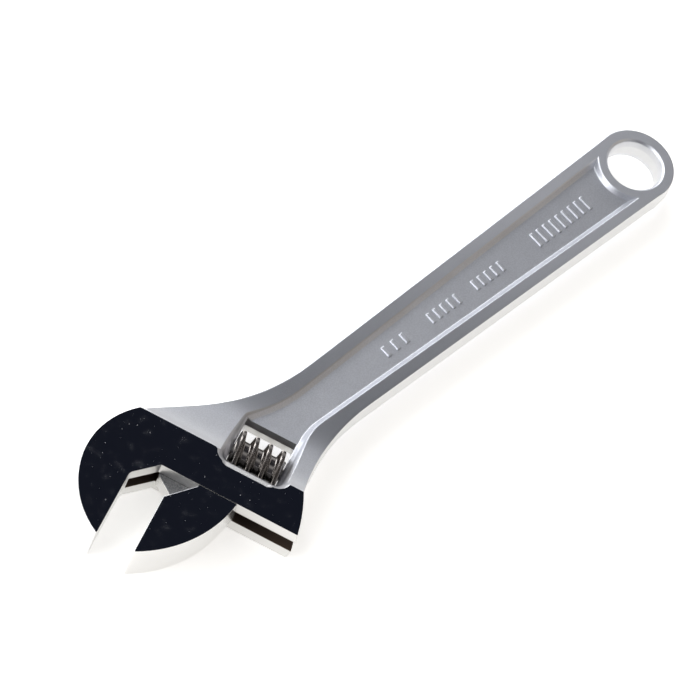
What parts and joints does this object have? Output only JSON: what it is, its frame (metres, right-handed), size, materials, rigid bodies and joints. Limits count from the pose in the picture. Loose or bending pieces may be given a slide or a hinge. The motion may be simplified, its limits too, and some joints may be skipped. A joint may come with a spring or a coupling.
{
  "type": "adjustable wrench",
  "caption": "Adjustable wrench, 8 inch class, forged steel with polished head, sliding lower jaw driven by a knurled worm.",
  "frame": {"origin": "middle of the fixed jaw's flat face in X and Z, at the level where Y = 0 lies a little below the middle of the jaw's height", "axes": "+X is the way the movable jaw opens and the worm's axis, +Y runs from the jaw tips towards the handle, +Z is the normal of the wrench's flat side"},
  "size_m": [0.1045, 0.1891, 0.0126],
  "materials": {
    "satin_chrome": "satin, with the head's faces polished",
    "polished_chrome": "polished",
    "dark_chrome": "semi-gloss, knurled crests",
    "pin_steel": "turned",
    "spring_steel": "drawn wire"
  },
  "bodies": {
    "frame": {"wrench_body": "satin_chrome", "worm_pin": "pin_steel", "worm_spring": "spring_steel"},
    "jaw": {"movable_jaw": "polished_chrome"},
    "worm": {"adjusting_worm": "dark_chrome"}
  },
  "joints": [
    {"name": "jaw_slide", "type": "slide", "parent": "frame", "child": "jaw", "axis": [1, 0, 0], "range_m": [-0.01, 0.0155]},
    {"name": "worm_spin", "type": "hinge", "parent": "frame", "child": "worm", "pos_m": [0.02593, 0.0325, 0], "axis": [1, 0, 0], "range_deg": [-1540, 1000]}
  ],
  "couplings": [
    {"joint": "worm_spin", "follows": "jaw_slide", "rad_per_m": -1721.4}
  ]
}
